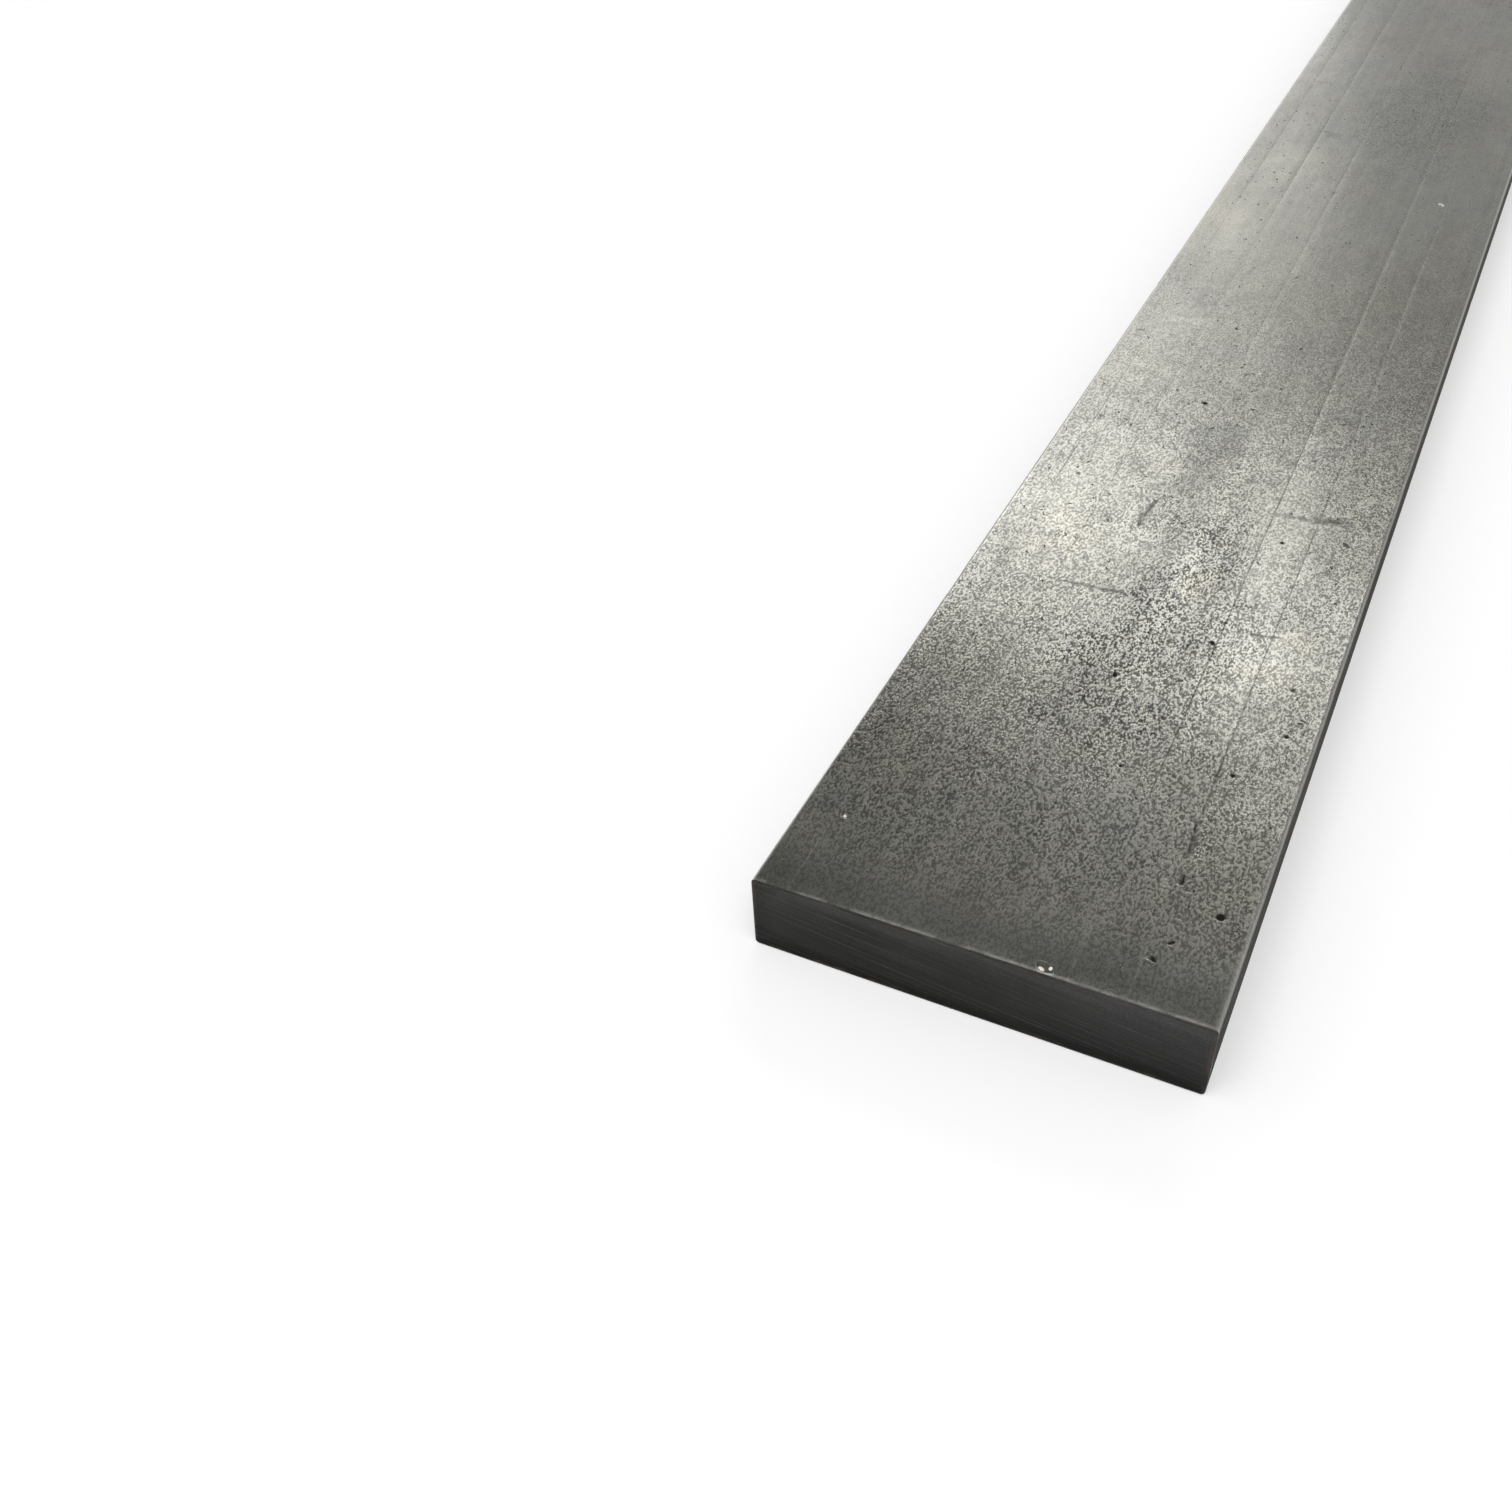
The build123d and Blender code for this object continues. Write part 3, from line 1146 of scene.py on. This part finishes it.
def crumb_glint_steel():
    """Near white with a faint straw tint and not metallic, a painted glint for the crumbs that the saw
    left.
    """
    material, sheet, shader, place = new_material("crumb_painted_glint")
    tint = sheet.spread(sheet.noise(place, 2.0), 0.4, 0.6)
    tone = sheet.blend(tint, colour(STRAW_CRUMB_GLINT_TONE), colour(PALE_CRUMB_GLINT_TONE))
    sheet.feed(shader.inputs["Base Color"], tone)
    sheet.feed(shader.inputs["Roughness"], sheet.spread(tint, 0.0, 1.0, 0.15, 0.3))
    shader.inputs["Metallic"].default_value = 0.0
    return material


def press_crumbs(bm, bar):
    """Sets the few crumbs, coloured as painted glints, into their hollows, with their tops level with the
    wide face.
    """
    for x, y, radius in CRUMBS:
        made = bmesh.ops.create_icosphere(bm, subdivisions=2, radius=radius * MM)["verts"]
        for vert in made:
            swell = noise.noise(vert.co / MM * 2.4 + Vector((x, y, 0.0)))
            vert.co *= 1.0 - 0.2 * abs(swell)
        centre = Vector((x * MM, y * MM, bar.thickness - radius * MM))
        bmesh.ops.translate(bm, vec=centre, verts=made)
        for face in {face for vert in made for face in vert.link_faces}:
            face.material_index = 2


class FLATBAR_OT_bar(bpy.types.Operator):
    """Builds the flat bar with its drawn skin and its two sawn ends"""

    bl_idname = "flatbar.bar"
    bl_label = "Drawn Bar"

    def execute(self, context):
        bar = context.scene.flat_bar
        bm = stock_block(bar)
        for side in (-1, 1):
            cut_rim(bm, bar, side)
        divide_long_faces(bm, bar)
        cut_draw_lines(bm, bar)
        divide_under_knocks(bm, bar)
        shape_long_faces(bm, bar)
        for side in (-1, 1):
            rows = divide_ends(bm, bar, side)
            shape_sawn_face(set(rows), bar, side)
            lip = bar.length / 2 - bar.rim_break - bar.lip_height
            for face in bm.faces:
                if face.calc_center_median().x * side > lip and abs(face.normal.x) > 0.3:
                    face.material_index = 1
        nick_corners(bm, bar)
        press_crumbs(bm, bar)
        groups = shader_groups()
        materials = (drawn_steel(bar, groups), sawn_steel(bar, groups), crumb_glint_steel())
        piece = finish_mesh(bm, "drawn_bar", materials)
        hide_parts("flat_bar")
        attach(piece, "root")
        return {"FINISHED"}


def grey_ramp(sheet, value, stops):
    """A smooth grey ramp over the value, from its positions and levels."""
    ramp = sheet.node("ShaderNodeValToRGB")
    ramp.color_ramp.interpolation = "EASE"
    elements = ramp.color_ramp.elements
    while len(elements) < len(stops):
        elements.new(0.5)
    for element, (position, level) in zip(elements, stops):
        element.position = position
        element.color = (level, level, level, 1.0)
    sheet.feed(ramp.inputs["Fac"], value)
    return ramp.outputs["Color"]


def studio_world():
    """A plain studio surround, pale at the horizon, with a darker drape to one side."""
    world = bpy.data.worlds.new("studio_surround")
    world.use_nodes = True
    sheet = Sheet(world.node_tree)
    direction = sheet.node("ShaderNodeTexCoord").outputs["Generated"]
    height = sheet.parts(direction)[2]
    drape = grey_ramp(sheet, height, DRAPE_LEVELS)
    room = grey_ramp(sheet, height, ROOM_LEVELS)
    level_direction = sheet.vector("NORMALIZE", sheet.vector("MULTIPLY", direction, (1.0, 1.0, 0.0)))
    middle = math.radians(DRAPE_HEADING)
    towards = (math.cos(middle), math.sin(middle), 0.0)
    beside = sheet.vector("DOT_PRODUCT", level_direction, towards)
    edges = [math.cos(math.radians(angle)) for angle in DRAPE_EDGES]
    hung = sheet.spread(beside, edges[1], edges[0], smooth=True)
    surround = sheet.blend(hung, room, drape)
    sheet.feed(world.node_tree.nodes["Background"].inputs["Color"], surround)
    return world


def floor_material(stage):
    """Pale floor that keeps the bar's shadow and reads as white to the camera and in the steel."""
    material, sheet, shader = new_material("studio_floor")[:3]
    sheet.feed(shader.inputs["Base Color"], colour(stage.floor_tone))
    shader.inputs["Roughness"].default_value = 0.9
    shader.inputs["Specular IOR Level"].default_value = 0.0
    rays = sheet.node("ShaderNodeLightPath").outputs
    seen = sheet.maths("ADD", rays["Is Camera Ray"], rays["Is Glossy Ray"], clamp=True)
    seen = sheet.maths("ADD", seen, rays["Is Transmission Ray"], clamp=True)
    shader.inputs["Emission Color"].default_value = (1.0, 1.0, 1.0, 1.0)
    sheet.feed(shader.inputs["Emission Strength"], sheet.maths("MULTIPLY", seen, FLOOR_GLOW))
    return material


def soft_panel(name, place, aim, size, level, roll=0.0):
    """One rectangular soft light that looks at a point. A level of 1 is as bright as white paper."""
    data = bpy.data.lights.new(name, "AREA")
    data.shape = "RECTANGLE"
    data.size, data.size_y = size
    data.energy = level * math.pi * data.size * data.size_y
    lamp = bpy.data.objects.new(name, data)
    look = Vector(aim) - Vector(place)
    turn = look.to_track_quat("-Z", "Y").to_matrix().to_4x4()
    lamp.matrix_world = Matrix.Translation(place) @ turn @ Matrix.Rotation(roll, 4, "Z")
    bpy.context.scene.collection.objects.link(lamp)
    return lamp


def mirrored_panel(stage, name, heading, height, distance, size, level, roll):
    """A soft light that the top of the bar shows the camera in the given direction, in degrees."""
    eye = Vector(stage.camera_place)
    eye.z = 2.0 * bar_high.z - eye.z
    rise = math.radians(height)
    swing = math.radians(heading)
    away = Vector((math.cos(swing) * math.cos(rise), math.sin(swing) * math.cos(rise), math.sin(rise)))
    foot = eye + away * ((bar_high.z - eye.z) / away.z)
    return soft_panel(name, eye + away * distance, foot, size, level, math.radians(roll))


def photo_camera(stage):
    """The camera that sees the bar as it lies in the photograph."""
    data = bpy.data.cameras.new("photo_camera")
    data.lens = stage.focal_length
    data.sensor_width = 36.0
    data.clip_start = 0.01
    camera = bpy.data.objects.new("photo_camera", data)
    flat = math.cos(stage.camera_pitch)
    look = Vector(
        (
            math.cos(stage.camera_heading) * flat,
            math.sin(stage.camera_heading) * flat,
            -math.sin(stage.camera_pitch),
        )
    )
    turn = look.to_track_quat("-Z", "Y").to_matrix().to_4x4()
    roll = Matrix.Rotation(-stage.camera_roll, 4, "Z")
    camera.matrix_world = Matrix.Translation(stage.camera_place) @ turn @ roll
    bpy.context.scene.collection.objects.link(camera)
    bpy.context.scene.camera = camera


class FLATBAR_OT_stage(bpy.types.Operator):
    """Lays the pale floor and sets the soft lights and the camera"""

    bl_idname = "flatbar.stage"
    bl_label = "Studio Stage"

    def execute(self, context):
        stage = context.scene.flat_bar_stage
        bm = bmesh.new()
        bmesh.ops.create_grid(bm, x_segments=1, y_segments=1, size=stage.floor_size / 2)
        bmesh.ops.translate(bm, vec=(0.0, 0.0, -FLOOR_DROP), verts=bm.verts)
        floor = finish_mesh(bm, "studio_floor", (floor_material(stage),))
        context.scene.world = studio_world()
        for panel in MIRRORED_PANELS:
            mirrored_panel(stage, *panel)
        soft_panel("overhead_panel", *OVERHEAD_PANEL)
        photo_camera(stage)
        context.scene.view_settings.view_transform = "Standard"
        return {"FINISHED"}


class FLATBAR_PT_pieces(bpy.types.Panel):
    """Lists the pieces of the flat bar in the sidebar"""

    bl_idname = "FLATBAR_PT_pieces"
    bl_label = "Drawn Steel Flat Bar"
    bl_space_type = "VIEW_3D"
    bl_region_type = "UI"
    bl_category = "Flat Bar"

    def draw(self, context):
        layout = self.layout
        for operator in (FLATBAR_OT_bar, FLATBAR_OT_stage):
            layout.operator(operator.bl_idname, text=operator.bl_label)
        bar = context.scene.flat_bar
        for name in ("length", "width", "thickness", "corner_radius", "steel_tone", "sawn_tone"):
            layout.prop(bar, name)


CLASSES = (
    BarSettings,
    StageSettings,
    FLATBAR_OT_bar,
    FLATBAR_OT_stage,
    FLATBAR_PT_pieces,
)


def register():
    """Registers the settings, the operators and the panel."""
    for part in CLASSES:
        bpy.utils.register_class(part)
    bpy.types.Scene.flat_bar = PointerProperty(type=BarSettings)
    bpy.types.Scene.flat_bar_stage = PointerProperty(type=StageSettings)


def unregister():
    """Takes the settings, the operators and the panel away again."""
    del bpy.types.Scene.flat_bar_stage
    del bpy.types.Scene.flat_bar
    for part in reversed(CLASSES):
        bpy.utils.unregister_class(part)


def main():
    register()
    bpy.ops.flatbar.stage()
    bpy.ops.flatbar.bar()


if __name__ == "__main__":
    main()
